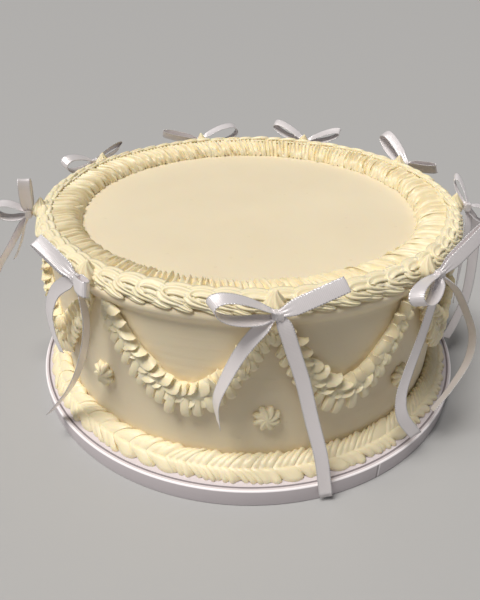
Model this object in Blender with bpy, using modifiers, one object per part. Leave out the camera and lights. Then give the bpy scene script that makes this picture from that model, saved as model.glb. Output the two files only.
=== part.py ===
"""One-tier wedding cake on a round cake drum, iced, piped, and trimmed with nine satin bows.

Metres, +Z up, with the origin at the middle of the drum's underside. The lengths below are in
millimetres, and MM turns them into metres. An azimuth is in degrees from the front (-Y) towards +X.
"""
import math
import random

import bmesh
import bpy
import numpy as np

MM = 0.001
GAP = 0.3

# Cake drum
DRUM_RADIUS = 152.4
DRUM_THICKNESS = 12.0
DRUM_EDGE = 1.2
DRUM_SEGMENTS = 64

# Iced cake
CAKE_RADIUS = 133.0
CAKE_TOP = 116.5
CAKE_SEGMENTS = 64
LIP_PROUD = 1.8
LIP_DEPTH = 4.0

# Piped rings: every shell, loop or chevron has three columns of points
COLUMNS = 3
BASE_CHEVRONS = 78
BASE_WIDTH = 13.8
BASE_HEIGHT = 10.4
OUTER_LOOPS = 66
OUTER_INNER_RADIUS = 126.0
OUTER_RADIUS = 142.4
OUTER_HEIGHT = 10.0
INNER_SHELLS = 74
INNER_TIP_RADIUS = 110.0
INNER_OUTER_RADIUS = 125.2
INNER_HEIGHT = 7.6

# Swags
SWAG_LOW = 64.0
SWAG_RISE = 48.0
SWAG_POWER = 1.85
SWAG_BOTTOM = 0.3
SWAG_REACH = 0.95
SWAG_STATIONS = 30
SWAG_WIDTH = 21.0
SWAG_END_WIDTH = 10.5
SWAG_RELIEF = 10.5
SWAG_SIDE_GAP = 0.25
# Degrees by which a swag starts after its first bow and stops before its second.
SWAG_TRIMS = {0: (0.5, 3.0), 8: (4.5, 0.2)}

# Drop stars and junction peaks
STAR_RADIUS = 7.3
STAR_HEIGHT = 8.0
STAR_PETALS = 8
STAR_LEVELS = (49.5, 52.0, 54.0, 52.5, 51.0, 53.5, 52.0, 54.0, 56.0)
PEAK_RADIUS = 134.0
PEAK_FOOT = 6.0
PEAK_BASE = 122.0
PEAK_TOP = 130.5
PEAK_SIDES = 8
NOTCH_HALF = 3.7
NOTCH_BLEND = 2.0
NOTCH_RADIUS = 139.2

# Ribbon
RIBBON_WIDTH = 7.5
RIBBON_THICKNESS = 0.5
LOOP_END_GAP = 1.2
LOOP_STEPS = 6
TAIL_STEPS = 5
KNOT_SIZE = (5.6, 4.6, 6.0)

ICING = (0.86, 0.78, 0.55)
PIPING = (0.93, 0.86, 0.62)
SATIN = (0.78, 0.75, 0.78)
BOARD = (0.80, 0.74, 0.74)

# Each bow: azimuth, radius and height of its knot, two loops and two tails. A vector is
# (right, out, up) as seen from outside. A loop is its reach, half its opening and its width's
# direction. A tail is the points it passes and its width's direction at the knot and at the end.


def hanging(length, lean, lift):
    """A tail that leaves the knot sideways and falls, leaning by `lean`, to `length` below it."""
    points = [
        (lean * (0.25 + 0.75 * t), 2.0 + lift * t * t, -length * t)
        for t in (0.12, 0.35, 0.65, 1.0)
    ]
    return points, (1, 0, 0.2 * math.copysign(1, lean)), (1, 0.3, 0)


BOWS = [
    dict(
        azimuth=4.4, radius=143.2, height=122.0,
        loops=[
            ((-30, 5, 9), (0, 0, 5.5), (3, 5.6, -1.7)),
            ((29.5, 2, 16), (-0.36, 1.13, 0.52), (2.9, 3.4, -5.4)),
        ],
        tails=[
            ([(-7, 2, -5), (-16, 1.5, -18), (-24, 1, -35), (-29, 1, -50), (-28, 1, -66)],
             (1, 0.3, 0.4), (0.2, 1, 0)),
            ([(3.5, 2, -6), (8.5, 1.5, -22), (14, 1.5, -40), (19.5, 3, -63), (26, 6.5, -89),
              (30.5, 9, -118)],
             (1, 0.2, 0.2), (1, 0, 0.1)),
        ],
    ),
    dict(
        azimuth=41.5, radius=143.2, height=123.0,
        loops=[
            ((-28, 7, -3), (-6, -1, 5), (5, 4.6, 0.5)),
            ((27, 6, 20), (-0.5, 1.14, 0.35), (3, 3, -5.5)),
        ],
        tails=[
            ([(-6, 3, -9), (-10, 3, -32), (-16, 3, -53), (-20, 4, -68), (-19, 7, -82),
              (-8, 12, -100)],
             (1, 0, 0), (1, 0.5, 0)),
            ([(12, 4, -11), (21, 8, -25), (30, 13, -45), (31, 14, -64), (22, 12, -82),
              (10, 10, -93)],
             (-0.4, 0.75, 0.4), (-0.56, 0.63, 0.54)),
        ],
    ),
    dict(
        azimuth=83.6, radius=143.2, height=122.0,
        loops=[
            ((14, -7.3, 15), (0, 1.5, 1), (1, 0.2, 0.3)),
            ((2, 18, -8), (0, 2, 4), (1, 0.2, 0)),
        ],
        tails=[
            ([(-3, 3, -14), (-6, 3, -38), (-8, 4, -68)], (0.5, 1, 0), (1, 0.3, 0)),
            ([(1, 8, -14), (2, 13, -40), (2, 15, -70), (0, 11, -92), (-2, 7, -104)],
             (0.3, 1, 0.3), (0.3, 1, 0.3)),
        ],
    ),
    dict(
        azimuth=119.0, radius=144.2, height=122.0,
        loops=[
            ((33, 2, 15), (0, 0, 5), (0, 6, 3)),
            ((-27, 3, 4), (0, 1, 1), (0, 3, -6)),
        ],
        tails=[hanging(82, -16, 4), hanging(96, 12, 6)],
    ),
    dict(
        azimuth=158.5, radius=144.2, height=122.0,
        loops=[
            ((31, 4, 12), (0, 0, 3.5), (0, 6, 3)),
            ((-29, 4, 10), (0, 0, 3), (0, 6, 3)),
        ],
        tails=[hanging(70, -22, 3), hanging(99, 9, 7)],
    ),
    dict(
        azimuth=197.0, radius=144.2, height=122.0,
        loops=[
            ((32, 4, 8), (-0.5, 1.5, 1.2), (0, 4, -5)),
            ((-37, 7, 5), (0, 0, 6), (0, 6, 2)),
        ],
        tails=[hanging(94, -10, 6), hanging(76, 20, 3)],
    ),
    dict(
        azimuth=238.0, radius=144.2, height=122.0,
        loops=[
            ((27, 4, 4), (0, 0, 5), (0, 6, 3)),
            ((-36, 5, 4), (0, 0, 2), (0, 4, -5)),
        ],
        tails=[hanging(88, -18, 5), hanging(72, 15, 3)],
    ),
    dict(
        azimuth=280.0, radius=143.2, height=121.0,
        loops=[
            ((1, -2, 23), (2.6, 0.1, 0.3), (0.2, 0.97, 0.1)),
            ((-1, 19, 4), (0, -0.9, 4.5), (1, -0.1, -0.25)),
        ],
        tails=[
            ([(-2, 6, -8), (-4, 18, -25), (-6, 31, -43), (-7, 38, -61)],
             (0.8, 0.4, 0.3), (0.7, 0.5, 0.3)),
            ([(1, 4, -8), (0, 9, -20), (-2, 15, -31)], (1, 0, 0), (1, 0.2, 0)),
        ],
    ),
    dict(
        azimuth=322.0, radius=142.4, height=123.5,
        loops=[
            ((-24, 3, 15), (1, 0.5, 1.5), (-0.32, 0.73, -0.59)),
            ((18, 7, 3), (0, 2.5, 1.5), (0.33, 0.42, -0.84)),
        ],
        tails=[
            ([(-6, 2, -4), (-18.5, 2, -14), (-26, 3, -27), (-28, 3, -38), (-27, 3, -48),
              (-23.5, 3, -56)],
             (0.5, 0, -1), (1, 0.2, 0.2)),
            ([(6.5, 3, -8), (7, 3, -21), (3, 4, -38), (-7, 5, -60), (-19, 7, -80), (-36, 12, -103)],
             (0.52, 0.67, 0.54), (0.3, 1, 0.3)),
        ],
    ),
]


def clear_scene():
    for item in list(bpy.data.objects):
        bpy.data.objects.remove(item, do_unlink=True)


def new_collection(name):
    collection = bpy.data.collections.new(name)
    bpy.context.scene.collection.children.link(collection)
    return collection


def polar(azimuth, radius, height):
    """A point in metres from an azimuth in degrees, and a radius and a height in millimetres."""
    angle = math.radians(azimuth)
    return (MM * radius * math.sin(angle), -MM * radius * math.cos(angle), MM * height)


def smoothstep(value):
    value = min(max(value, 0.0), 1.0)
    return value * value * (3.0 - 2.0 * value)


def move_to(item, collection):
    for old in list(item.users_collection):
        old.objects.unlink(item)
    collection.objects.link(item)


def finish(item, name, colour, roughness):
    """Name a sub-part, put it in the cake's collection and give it its own material."""
    item.name = name
    item.data.name = name
    move_to(item, CAKE)
    material = bpy.data.materials.new(name)
    material.use_nodes = True
    shader = material.node_tree.nodes["Principled BSDF"]
    shader.inputs["Base Color"].default_value = (*colour, 1.0)
    shader.inputs["Roughness"].default_value = roughness
    shader.inputs["Metallic"].default_value = 0.0
    item.data.materials.clear()
    item.data.materials.append(material)
    item.data.shade_smooth()
    item.data.set_sharp_from_angle(angle=math.radians(35))
    return item


def loft(name, sections, thin=False):
    """A closed body through sections that have the same number of points.

    A thin strip's two broad faces are cut along the same diagonals, so that they stay parallel
    where the strip twists.
    """
    body = bmesh.new()
    rings = [[body.verts.new(point) for point in section] for section in sections]
    sides = len(rings[0])
    for first, second in zip(rings, rings[1:]):
        for side in range(sides):
            after = (side + 1) % sides
            corners = (first[side], first[after], second[after], second[side])
            if not thin:
                body.faces.new(corners)
            else:
                start = 0 if side < sides // 2 else 1
                body.faces.new([corners[(start + k) % 4] for k in (0, 1, 2)])
                body.faces.new([corners[(start + k) % 4] for k in (0, 2, 3)])
    body.faces.new(reversed(rings[0]))
    body.faces.new(rings[-1])
    bmesh.ops.recalc_face_normals(body, faces=body.faces)
    mesh = bpy.data.meshes.new(name)
    body.to_mesh(mesh)
    body.free()
    item = bpy.data.objects.new(name, mesh)
    bpy.context.scene.collection.objects.link(item)
    return item


def piped_ring(name, units, rows, shape):
    """A torus whose points are placed by `shape(unit, phase, row)` as shift, radius and height.

    Rows run from the outer foot over the top to the inner foot. The shift slides a point along
    the ring, so that the edges between the piped units slant or bend.
    """
    columns = units * COLUMNS
    bpy.ops.mesh.primitive_torus_add(major_segments=columns, minor_segments=rows)
    ring = bpy.context.object
    for vertex in ring.data.vertices:
        column, row = divmod(vertex.index, rows)
        unit, phase = divmod(column, COLUMNS)
        turn = 360.0 * column / columns
        shift, radius, height = shape(unit, phase, row, turn)
        vertex.co = polar(turn + math.degrees(shift / radius), radius, height)
    return finish(ring, name, PIPING, 0.5)


def cake_drum():
    bpy.ops.mesh.primitive_cylinder_add(
        vertices=DRUM_SEGMENTS, radius=DRUM_RADIUS * MM, depth=DRUM_THICKNESS * MM,
        location=(0.0, 0.0, DRUM_THICKNESS * MM / 2.0))
    drum = bpy.context.object
    bpy.ops.object.transform_apply(location=True, rotation=False, scale=False)
    edge = drum.modifiers.new("rounded_rim", "BEVEL")
    edge.width = DRUM_EDGE * MM
    edge.segments = 1
    edge.limit_method = "ANGLE"
    edge.angle_limit = math.radians(60)
    finish(drum, "cake_drum", BOARD, 0.45)


def iced_cake():
    """The iced cake as one turned solid, with the soft lip of icing round its top edge."""
    profile = [
        (0.0, CAKE_TOP),
        (CAKE_RADIUS - 4.0, CAKE_TOP),
        (CAKE_RADIUS + 0.6 * LIP_PROUD, CAKE_TOP - 0.25 * LIP_DEPTH),
        (CAKE_RADIUS + LIP_PROUD, CAKE_TOP - 0.55 * LIP_DEPTH),
        (CAKE_RADIUS, CAKE_TOP - LIP_DEPTH),
        (CAKE_RADIUS, DRUM_THICKNESS + GAP),
        (0.0, DRUM_THICKNESS + GAP),
    ]
    mesh = bpy.data.meshes.new("iced_cake")
    points = [(MM * radius, 0.0, MM * height) for radius, height in profile]
    mesh.from_pydata(points, [(k, k + 1) for k in range(len(points) - 1)], [])
    cake = bpy.data.objects.new("iced_cake", mesh)
    bpy.context.scene.collection.objects.link(cake)
    turn = cake.modifiers.new("turned", "SCREW")
    turn.axis = "Z"
    turn.angle = math.tau
    turn.steps = CAKE_SEGMENTS
    turn.render_steps = CAKE_SEGMENTS
    turn.use_merge_vertices = True
    turn.merge_threshold = 0.00001
    finish(cake, "iced_cake", ICING, 0.5)


def base_border():
    """Feather border at the foot of the cake: two rows of petals that meet in a herringbone."""
    foot = DRUM_THICKNESS + GAP
    inner = CAKE_RADIUS + GAP + 0.1
    size = random.Random(11)
    swell = [size.uniform(-0.5, 0.6) for _ in range(BASE_CHEVRONS)]
    rows = [
        (2.8, BASE_WIDTH, 0.0, 1.9, 0.0),
        (-3.6, 8.2, 0.68 * BASE_HEIGHT, 0.7, 0.9),
        (-0.4, 3.8, BASE_HEIGHT, 0.2, 1.0),
        (3.0, 0.0, 0.80 * BASE_HEIGHT, 0.0, 1.2),
        (3.0, 0.0, 0.0, 0.0, 0.0),
    ]
    fullness = (-0.9, 0.9, 0.3)

    def shape(unit, phase, row, turn):
        shift, out, up, out_relief, up_relief = rows[row]
        full = fullness[phase] + swell[unit] * (up > 0.0 or out > 0.0)
        return shift, inner + out + full * out_relief, foot + up + full * up_relief

    piped_ring("base_border", BASE_CHEVRONS, len(rows), shape)


def notch(turn):
    """1 where a bow's knot presses into the outer border, 0 away from it."""
    nearest = min(abs((turn - bow["azimuth"] + 180.0) % 360.0 - 180.0) for bow in BOWS)
    return 1.0 - smoothstep((nearest - NOTCH_HALF) / NOTCH_BLEND)


def top_outer_border():
    """Rope of overlapping loops along the top edge, pressed in where the bows are tied."""
    foot = CAKE_TOP + GAP
    size = random.Random(23)
    swell = [size.uniform(-0.4, 0.4) for _ in range(OUTER_LOOPS)]
    width = OUTER_RADIUS - OUTER_INNER_RADIUS
    rows = [
        (-0.5, width, 1.4, 0.7, 0.5),
        (-3.6, 0.93 * width, 0.66 * OUTER_HEIGHT, 1.0, 0.9),
        (-2.4, 0.52 * width, OUTER_HEIGHT, 0.0, 1.5),
        (0.6, 0.16 * width, 0.72 * OUTER_HEIGHT, -0.5, 1.0),
        (2.6, 0.0, 0.0, 0.0, 0.0),
    ]
    fullness = (-1.0, 0.55, 0.25)

    def shape(unit, phase, row, turn):
        shift, out, up, out_relief, up_relief = rows[row]
        full = fullness[phase] + swell[unit] * (up > 0.0)
        radius = OUTER_INNER_RADIUS + out + full * out_relief
        height = foot + up + full * up_relief
        pressed = notch(turn + math.degrees(shift / radius))
        radius += pressed * (min(radius, NOTCH_RADIUS) - radius)
        height += pressed * (min(height, PEAK_BASE - 0.5) - height)
        return shift, radius, height

    piped_ring("top_outer_border", OUTER_LOOPS, len(rows), shape)


def top_inner_border():
    """Ring of star-tip shells inside the rope, with their thin ends towards the middle."""
    foot = CAKE_TOP + GAP
    size = random.Random(37)
    swell = [size.uniform(-0.5, 0.5) for _ in range(INNER_SHELLS)]
    width = INNER_OUTER_RADIUS - INNER_TIP_RADIUS
    rows = [
        (0.0, width, 0.0, 0.0, 0.0),
        (-0.4, 0.72 * width, INNER_HEIGHT, 0.0, 1.0),
        (0.6, 0.32 * width, 0.62 * INNER_HEIGHT, -0.6, 1.1),
        (1.2, 0.06 * width, 0.0, -1.6, 0.0),
    ]
    fullness = (-1.0, 0.8, 0.1)

    def shape(unit, phase, row, turn):
        shift, out, up, out_relief, up_relief = rows[row]
        full = fullness[phase] + swell[unit] * (up > 0.0)
        return shift, INNER_TIP_RADIUS + out + full * out_relief, foot + up + full * up_relief

    piped_ring("top_inner_border", INNER_SHELLS, len(rows), shape)


def swag(number):
    """Scalloped double ruffle that hangs on the wall from one bow to the next."""
    late, early = SWAG_TRIMS.get(number, (0.0, 0.0))
    start = BOWS[number]["azimuth"] + late
    end = BOWS[(number + 1) % len(BOWS)]["azimuth"] - early
    half = ((end - start) % 360.0) / 2.0
    middle = start + half
    limit = half - SWAG_SIDE_GAP
    back = CAKE_RADIUS + GAP + 0.1
    arc = math.radians(1.0) * CAKE_RADIUS
    size = random.Random(100 + number)
    sections = []
    for station in range(SWAG_STATIONS):
        along = SWAG_REACH * (2.0 * station / (SWAG_STATIONS - 1) - 1.0)
        steep = abs(along) ** SWAG_POWER
        height = SWAG_LOW + SWAG_RISE * steep
        slope = SWAG_RISE * SWAG_POWER * abs(along) ** (SWAG_POWER - 1.0) / (half * arc)
        tilt = math.atan(math.copysign(slope, along)) * min(abs(along) / SWAG_BOTTOM, 1.0)
        width = SWAG_WIDTH + (SWAG_END_WIDTH - SWAG_WIDTH) * smoothstep(steep)
        relief = SWAG_RELIEF * (1.0 - 0.35 * steep)
        full = (1.0 if station % 2 else -1.0) + size.uniform(-0.35, 0.35)
        fold = (0.9, -0.3, -0.7)[station % 3] + size.uniform(-0.2, 0.2)
        outline = [
            (-0.36 * width, 0.0),
            (-0.47 * width + 0.9 * full, 0.34 * relief + 0.5 * full),
            (0.06 * width, 0.92 * relief + 0.8 * fold),
            (0.42 * width + 0.9 * fold, 0.62 * relief - 0.5 * fold),
            (0.36 * width, 0.0),
        ]
        section = []
        for across, proud in outline:
            turn = half * along - math.sin(tilt) * across / arc
            turn = min(max(turn, -limit), limit)
            section.append(polar(middle + turn, back + proud, height + math.cos(tilt) * across))
        sections.append(section)
    finish(loft("swag", sections), f"swag_{number + 1}", PIPING, 0.5)


def drop_star(number):
    """Eight-petal star of icing on the wall below a bow."""
    azimuth = BOWS[number]["azimuth"] - 0.8
    angle = math.radians(azimuth)
    right = np.array((math.cos(angle), math.sin(angle), 0.0))
    out = np.array((math.sin(angle), -math.cos(angle), 0.0))
    up = np.array((0.0, 0.0, 1.0))
    centre = np.array(polar(azimuth, CAKE_RADIUS + GAP + 0.3, STAR_LEVELS[number]))
    sections = []
    for reach, dip, proud in ((0.95, 0.2, 0.0), (0.9, 0.32, 0.45), (0.14, 0.1, 1.0)):
        ring = []
        for corner in range(2 * STAR_PETALS):
            radius = STAR_RADIUS * reach * (1.0 - dip * (corner % 2))
            bearing = math.pi * (corner / STAR_PETALS + 0.35 * proud)
            ring.append(centre + MM * (
                right * radius * math.cos(bearing) + up * radius * math.sin(bearing)
                + out * proud * STAR_HEIGHT))
        sections.append(ring)
    finish(loft("drop_star", sections), f"drop_star_{number + 1}", PIPING, 0.5)


def junction_peak(number):
    """Pointed shell of icing on the outer border, above a knot."""
    bow = BOWS[number]
    angle = math.radians(bow["azimuth"])
    out = np.array((math.sin(angle), -math.cos(angle), 0.0))
    right = np.array((math.cos(angle), math.sin(angle), 0.0))
    sections = []
    for level, reach in ((0.0, 0.9), (0.45, 0.85), (1.0, 0.12)):
        height = PEAK_BASE + (PEAK_TOP - PEAK_BASE) * level
        ring = []
        for corner in range(PEAK_SIDES):
            bearing = math.tau * corner / PEAK_SIDES
            radius = PEAK_FOOT * reach * (1.0 if corner % 2 else 0.84)
            ring.append(
                np.array((0.0, 0.0, MM * height)) + MM * out * (PEAK_RADIUS + radius * math.sin(bearing))
                + MM * right * radius * math.cos(bearing))
        sections.append(ring)
    finish(loft("junction_peak", sections), f"junction_peak_{number + 1}", PIPING, 0.5)


def unit(vector):
    vector = np.asarray(vector, float)
    return vector / np.linalg.norm(vector)


def ribbon(name, middles, widths, tangents):
    """A strip of ribbon as a closed body, from its centre line and its half-width vectors.

    The strip's own Y points inwards, because the bow is turned to its azimuth afterwards.
    """
    axes = np.array((MM, -MM, MM))
    sections = []
    for middle, width, tangent in zip(middles, widths, tangents):
        face = unit(np.cross(tangent, width)) * RIBBON_THICKNESS / 2.0
        corners = (width + face, -width + face, -width - face, width - face)
        sections.append([axes * (middle + corner) for corner in corners])
    return loft(name, sections, thin=True)


def loop_strip(reach, opening, across):
    """Teardrop loop of ribbon whose two ends leave the knot a little apart."""
    reach, opening = np.asarray(reach, float), np.asarray(opening, float)
    apart = unit(np.cross(reach, across)) * LOOP_END_GAP / 2.0
    apart *= math.copysign(1.0, apart @ opening)
    middles, widths = [], []
    for step in range(LOOP_STEPS + 1):
        phase = math.tau * (0.035 + 0.93 * step / LOOP_STEPS)
        along = math.sin(phase / 2.0) ** 2
        aside = math.sin(phase) * math.sin(phase / 2.0) / 0.77
        middles.append(reach * along + opening * aside + apart * math.cos(phase / 2.0))
        half = RIBBON_WIDTH / 2.0 * (0.5 + 0.5 * smoothstep(along / 0.3))
        widths.append(unit(across) * half)
    return ribbon("loop", middles, widths, np.gradient(np.array(middles), axis=0))


def tail_strip(points, first, last):
    """Loose end of ribbon along a smooth curve through its points."""
    route = [np.zeros(3)] + [np.asarray(point, float) for point in points]
    route = [2.0 * route[0] - route[1]] + route + [2.0 * route[-1] - route[-2]]
    middles = []
    for step in range(TAIL_STEPS + 1):
        span, t = divmod(len(points) * step / TAIL_STEPS, 1.0)
        if step == TAIL_STEPS:
            span, t = len(points) - 1, 1.0
        a, b, c, d = route[int(span):int(span) + 4]
        middles.append(0.5 * (
            2.0 * b + (c - a) * t + (2.0 * a - 5.0 * b + 4.0 * c - d) * t ** 2
            + (3.0 * b - a - 3.0 * c + d) * t ** 3))
    tangents = np.gradient(np.array(middles), axis=0)
    widths = []
    for step, tangent in enumerate(tangents):
        share = step / TAIL_STEPS
        along = unit(tangent)
        across = unit(np.asarray(first, float) * (1.0 - share) + np.asarray(last, float) * share)
        across = unit(across - along * (across @ along))
        half = RIBBON_WIDTH / 2.0 * (0.45 + 0.55 * smoothstep(share * len(points)))
        widths.append(across * half)
    return ribbon("tail", middles, widths, tangents)


def bow(number):
    """One bow as one solid: its knot, joined with two loops and two tails of ribbon."""
    facts = BOWS[number]
    bpy.ops.mesh.primitive_cube_add(size=MM)
    knot = bpy.context.object
    knot.scale = KNOT_SIZE
    bpy.ops.object.transform_apply(location=False, rotation=False, scale=True)
    strips = new_collection(f"ribbons_{number + 1}")
    pieces = [loop_strip(*values) for values in facts["loops"]]
    pieces += [tail_strip(*values) for values in facts["tails"]]
    for piece in pieces:
        move_to(piece, strips)
    joined = knot.modifiers.new("joined", "BOOLEAN")
    joined.operation = "UNION"
    joined.operand_type = "COLLECTION"
    joined.collection = strips
    joined.solver = "MANIFOLD"
    bpy.ops.object.modifier_apply(modifier=joined.name)
    for piece in pieces:
        bpy.data.objects.remove(piece, do_unlink=True)
    bpy.data.collections.remove(strips)
    finish(knot, f"bow_{number + 1}", SATIN, 0.35)
    knot.location = polar(facts["azimuth"], facts["radius"], facts["height"])
    knot.rotation_euler = (0.0, 0.0, math.radians(facts["azimuth"]))


clear_scene()
CAKE = new_collection("wedding_cake")
cake_drum()
iced_cake()
base_border()
top_outer_border()
top_inner_border()
for place in range(len(BOWS)):
    swag(place)
    drop_star(place)
    junction_peak(place)
    bow(place)
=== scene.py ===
import math

import bpy
import bmesh
import numpy as np
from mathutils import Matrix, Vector, noise


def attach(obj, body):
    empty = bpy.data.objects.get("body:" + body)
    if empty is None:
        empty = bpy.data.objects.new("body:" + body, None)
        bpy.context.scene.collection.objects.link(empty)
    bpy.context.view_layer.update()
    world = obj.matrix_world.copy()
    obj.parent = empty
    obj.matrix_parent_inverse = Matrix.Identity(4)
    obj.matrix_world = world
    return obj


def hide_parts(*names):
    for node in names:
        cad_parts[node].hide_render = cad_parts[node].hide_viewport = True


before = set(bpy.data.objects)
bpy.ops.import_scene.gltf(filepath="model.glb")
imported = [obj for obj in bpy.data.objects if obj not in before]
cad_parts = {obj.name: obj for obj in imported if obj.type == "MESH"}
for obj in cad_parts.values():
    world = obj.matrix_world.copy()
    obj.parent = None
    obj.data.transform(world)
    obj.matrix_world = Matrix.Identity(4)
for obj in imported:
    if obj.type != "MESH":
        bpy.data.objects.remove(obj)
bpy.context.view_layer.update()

MM = 0.001

# Lengths are in millimetres, and azimuths in degrees from the front, to the right

# Drum: its rounded rim, painted with a highlight; the crease in its paper, painted with shade; its
# side, darkened by painted shade; and the seam in the paper's side
DRUM_RADIUS = 152.4
DRUM_THICKNESS = 12.0
DRUM_ROUNDING = 0.8
DRUM_RIM_HIGHLIGHT_START = 151.3
DRUM_CREASE = 149.6
DRUM_LINE = 0.6
DRUM_SIDE_TOP = 11.3
DRUM_SEAM = 29.3

# Cake, and the lip of icing round its top as (out from the wall, up from the top)
CAKE_RADIUS = 133.0
CAKE_TOP = 116.5
LIP = ((0.3, -7.8), (1.1, -6.6), (2.2, -5.3), (3.3, -3.9), (4.0, -2.3), (4.0, -0.6), (3.4, 0.8),
       (2.0, 1.5), (0.0, 1.5), (-2.0, 0.8), (-4.0, 0.0))
WALL_SWELL = 0.22
TOP_SWELL = 0.18
LIP_SWELL = 0.9

# Outer border: a comma's route as (along, radius, height), with half its width and height, and
# how far its top leans outwards
ROPE_COMMAS = 66
COMMA_STATIONS = 31
COMMA_ROUTE = (
    (6.6, 135.4, 119.6), (3.6, 135.0, 120.5), (0.2, 134.5, 121.2), (-3.0, 134.0, 121.8),
    (-4.8, 133.3, 122.4), (-4.4, 131.9, 123.2), (-2.0, 130.9, 123.8), (1.6, 130.5, 123.9),
    (5.4, 130.6, 123.4), (9.2, 131.3, 122.6), (12.6, 132.5, 121.6), (15.6, 133.9, 120.7),
    (18.4, 135.2, 119.9), (21.0, 136.2, 119.2), (23.4, 136.8, 118.6), (25.2, 137.0, 118.2))
COMMA_WIDTHS = (1.4, 2.3, 3.1, 3.8, 4.4, 4.9, 5.4, 5.6, 5.4, 5.0, 4.4, 3.8, 3.1, 2.3, 1.5, 0.4)
COMMA_HEIGHTS = (1.6, 2.4, 3.0, 3.4, 3.6, 3.7, 3.7, 3.6, 3.4, 3.1, 2.8, 2.5, 2.2, 1.8, 1.2, 0.4)
COMMA_LEANS = (0.9, 0.95, 0.9, 0.7, 0.5, 0.35, 0.28, 0.28, 0.35, 0.45, 0.6, 0.8, 0.95, 1.1, 1.2,
               1.2)
ROPE_RADIUS = 133.4
PRESSED_RADIUS = 134.0

# Inner border: its section as (radius, height), from under the outer border to the top
INNER_SHELLS = 78
SHELL_RIDGES = 3
RIDGE_STEPS = 8
SHELL_SECTION = (
    (131.6, 120.6), (131.2, 123.9), (129.4, 125.1), (126.6, 125.0), (123.8, 124.8),
    (121.4, 124.6), (119.6, 124.4), (117.8, 124.1), (116.2, 123.6), (114.7, 122.8),
    (113.3, 121.6), (112.2, 120.0), (111.4, 118.4), (110.9, 116.7), (113.0, 116.3))

# Base border: its section as (radius, height), from the wall to the drum. Its two rows of petals
# meet at the middle, and a spread of 1 is a petal's far end.
BASE_CHEVRONS = 72
FEATHER_MIDDLE = 9
FEATHER_SECTION = (
    (132.9, 15.0), (133.1, 18.5), (133.4, 20.8), (134.3, 22.1), (135.5, 22.6), (136.9, 22.6),
    (138.4, 22.0), (139.8, 21.0), (141.1, 19.9), (142.2, 19.0), (143.0, 18.6), (143.9, 17.9),
    (144.8, 16.9), (145.5, 15.8), (146.1, 14.6), (146.4, 13.3), (146.4, 12.2), (143.0, 12.05))
FEATHER_SPREAD = (1.0, 1.0, 0.98, 0.9, 0.76, 0.6, 0.42, 0.26, 0.12, 0.0, 0.14, 0.3, 0.48, 0.66,
                  0.82, 0.94, 1.0, 1.0)
FEATHER_SLANTS = (9.0, 6.5)
PETAL_PHASES = (0.0, 0.05, 0.12, 0.2, 0.27, 0.33, 0.4, 0.47, 0.54, 0.6, 0.67, 0.74, 0.81, 0.88,
                0.94, 0.98)

# Swags: the trims are the degrees by which one starts after its first bow and stops before its
# second
SWAG_LOW = 64.0
SWAG_RISE = 48.0
SWAG_POWER = 1.85
SWAG_REACH = 0.98
SWAG_TRIMS = {0: (0.5, 3.0), 8: (4.5, 0.2)}
SWAG_NARROWING = 0.42

# A fringe finger, from its root to its tip
FINGER_PITCH = 6.3
FINGER_DROP = (0.0, 4.5, 9.6, 12.2, 13.0)
FINGER_PROUD = (3.8, 4.9, 5.2, 4.9, 3.9)
FINGER_WIDTHS = (2.9, 3.1, 3.2, 3.0, 1.7)
FINGER_HEIGHTS = (2.2, 2.5, 2.5, 2.0, 1.0)

# A ruffle petal: its outline, and its stations from root to tip. The rows are (level on the
# swag, pitch, size, lean).
RUFFLE_ROWS = ((4.4, 6.6, 0.94, 0.42), (-1.3, 6.4, 0.9, -0.05))
PETAL_OUTLINE = np.array((
    (-1.0, -0.7), (-0.62, -0.7), (0.5, -0.7), (0.62, 0.0), (0.84, 0.55), (1.12, 0.98), (1.04, 1.22),
    (0.66, 1.2), (0.2, 0.92), (-0.3, 0.72), (-0.72, 0.4), (-0.98, 0.0)))
PETAL_WIDTH = 3.1
PETAL_HEIGHT = 2.9
PETAL_STEPS = (-6.4, -4.6, -2.2, 0.2, 2.6, 4.6, 6.0, 6.6)
PETAL_BROAD = (0.5, 0.75, 0.95, 1.0, 1.0, 0.88, 0.5, 0.12)
PETAL_THICK = (0.6, 0.8, 0.95, 1.0, 1.0, 0.95, 0.75, 0.45)
PETAL_PROUD = (1.9, 2.2, 2.6, 3.1, 3.6, 4.0, 4.3, 4.3)
PETAL_BEND = (0.9, 0.3, -0.2, -0.4, -0.3, 0.5, 1.8, 3.0)

# Stars: their heights by bow, and their rings as (proud, reach, valley depth, turn).
# Peaks: their rings as (height, reach, valley depth).
STAR_SIZE = 8.0
STAR_LEVELS = (49.5, 52.0, 54.0, 52.5, 51.0, 53.5, 52.0, 54.0, 56.0)
STAR_RINGS = (
    (0.0, 0.84, 0.3, 0.0), (1.2, 1.0, 0.32, 0.04), (2.6, 0.98, 0.36, 0.1), (3.7, 0.82, 0.42, 0.2),
    (4.4, 0.56, 0.48, 0.36), (4.7, 0.28, 0.5, 0.6), (4.9, 0.05, 0.3, 0.8))
PEAK_RADIUS = 134.9
PEAK_RINGS = (
    (119.0, 4.8, 0.3), (120.4, 5.9, 0.36), (122.0, 6.4, 0.4), (123.6, 5.9, 0.42),
    (125.2, 4.8, 0.42), (126.8, 3.5, 0.4), (128.4, 2.3, 0.36), (129.8, 1.3, 0.3), (131.0, 0.3, 0.2))

# Ribbon
RIBBON_WIDTH = 7.5
RIBBON_THICKNESS = 0.3
RIBBON_POINTS = 13
LOOP_END_GAP = 1.2
LOOP_STEPS = 44
TAIL_STEPS = 56
KNOT_SIZE = (5.6, 4.6, 6.0)
PLEAT_DEPTH = 0.9
RIBBON_CUP = 0.22
RIB_PITCH = 0.8
BEAD_PITCH = 1.4
SELVAGE_SHARE = 0.07

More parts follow.
